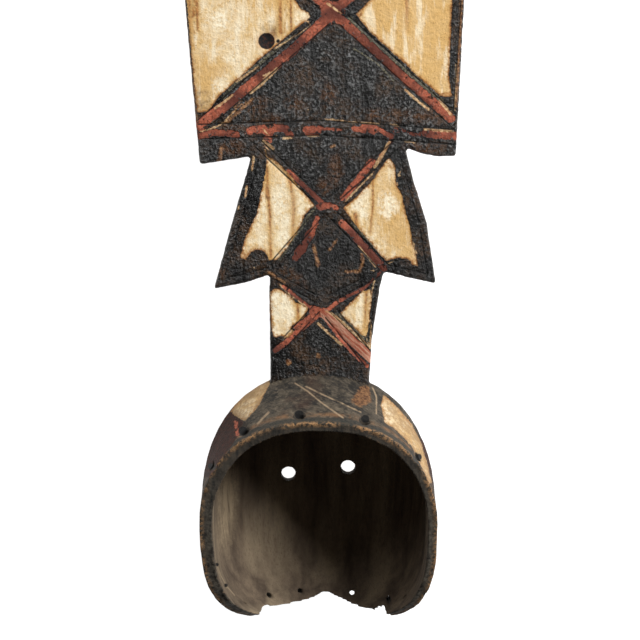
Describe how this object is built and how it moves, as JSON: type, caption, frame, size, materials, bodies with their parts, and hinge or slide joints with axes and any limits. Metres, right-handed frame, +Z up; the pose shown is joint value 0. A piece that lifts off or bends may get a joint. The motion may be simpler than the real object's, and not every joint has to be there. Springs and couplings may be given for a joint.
{
  "type": "plank mask",
  "caption": "Carved wooden plank mask lying on its front: a hollow head with ringed eyes and a round mouth under a tall flat board with wings, crossed painted bands and a crescent top.",
  "frame": {"origin": "middle of the underside of the box round the mask as it lies on its front", "axes": "+Y along the board from the chin to the horns, +Z up out of the mask's back, +X to the right when the back is looked at with the horns up"},
  "size_m": [0.3628, 1.189, 0.2089],
  "materials": {
    "painted_wood": "thick flaking black paint with worn cream and brick red fields, over bare brown wood inside the head"
  },
  "bodies": {
    "root": {"plank_mask": "painted_wood"}
  },
  "joints": []
}
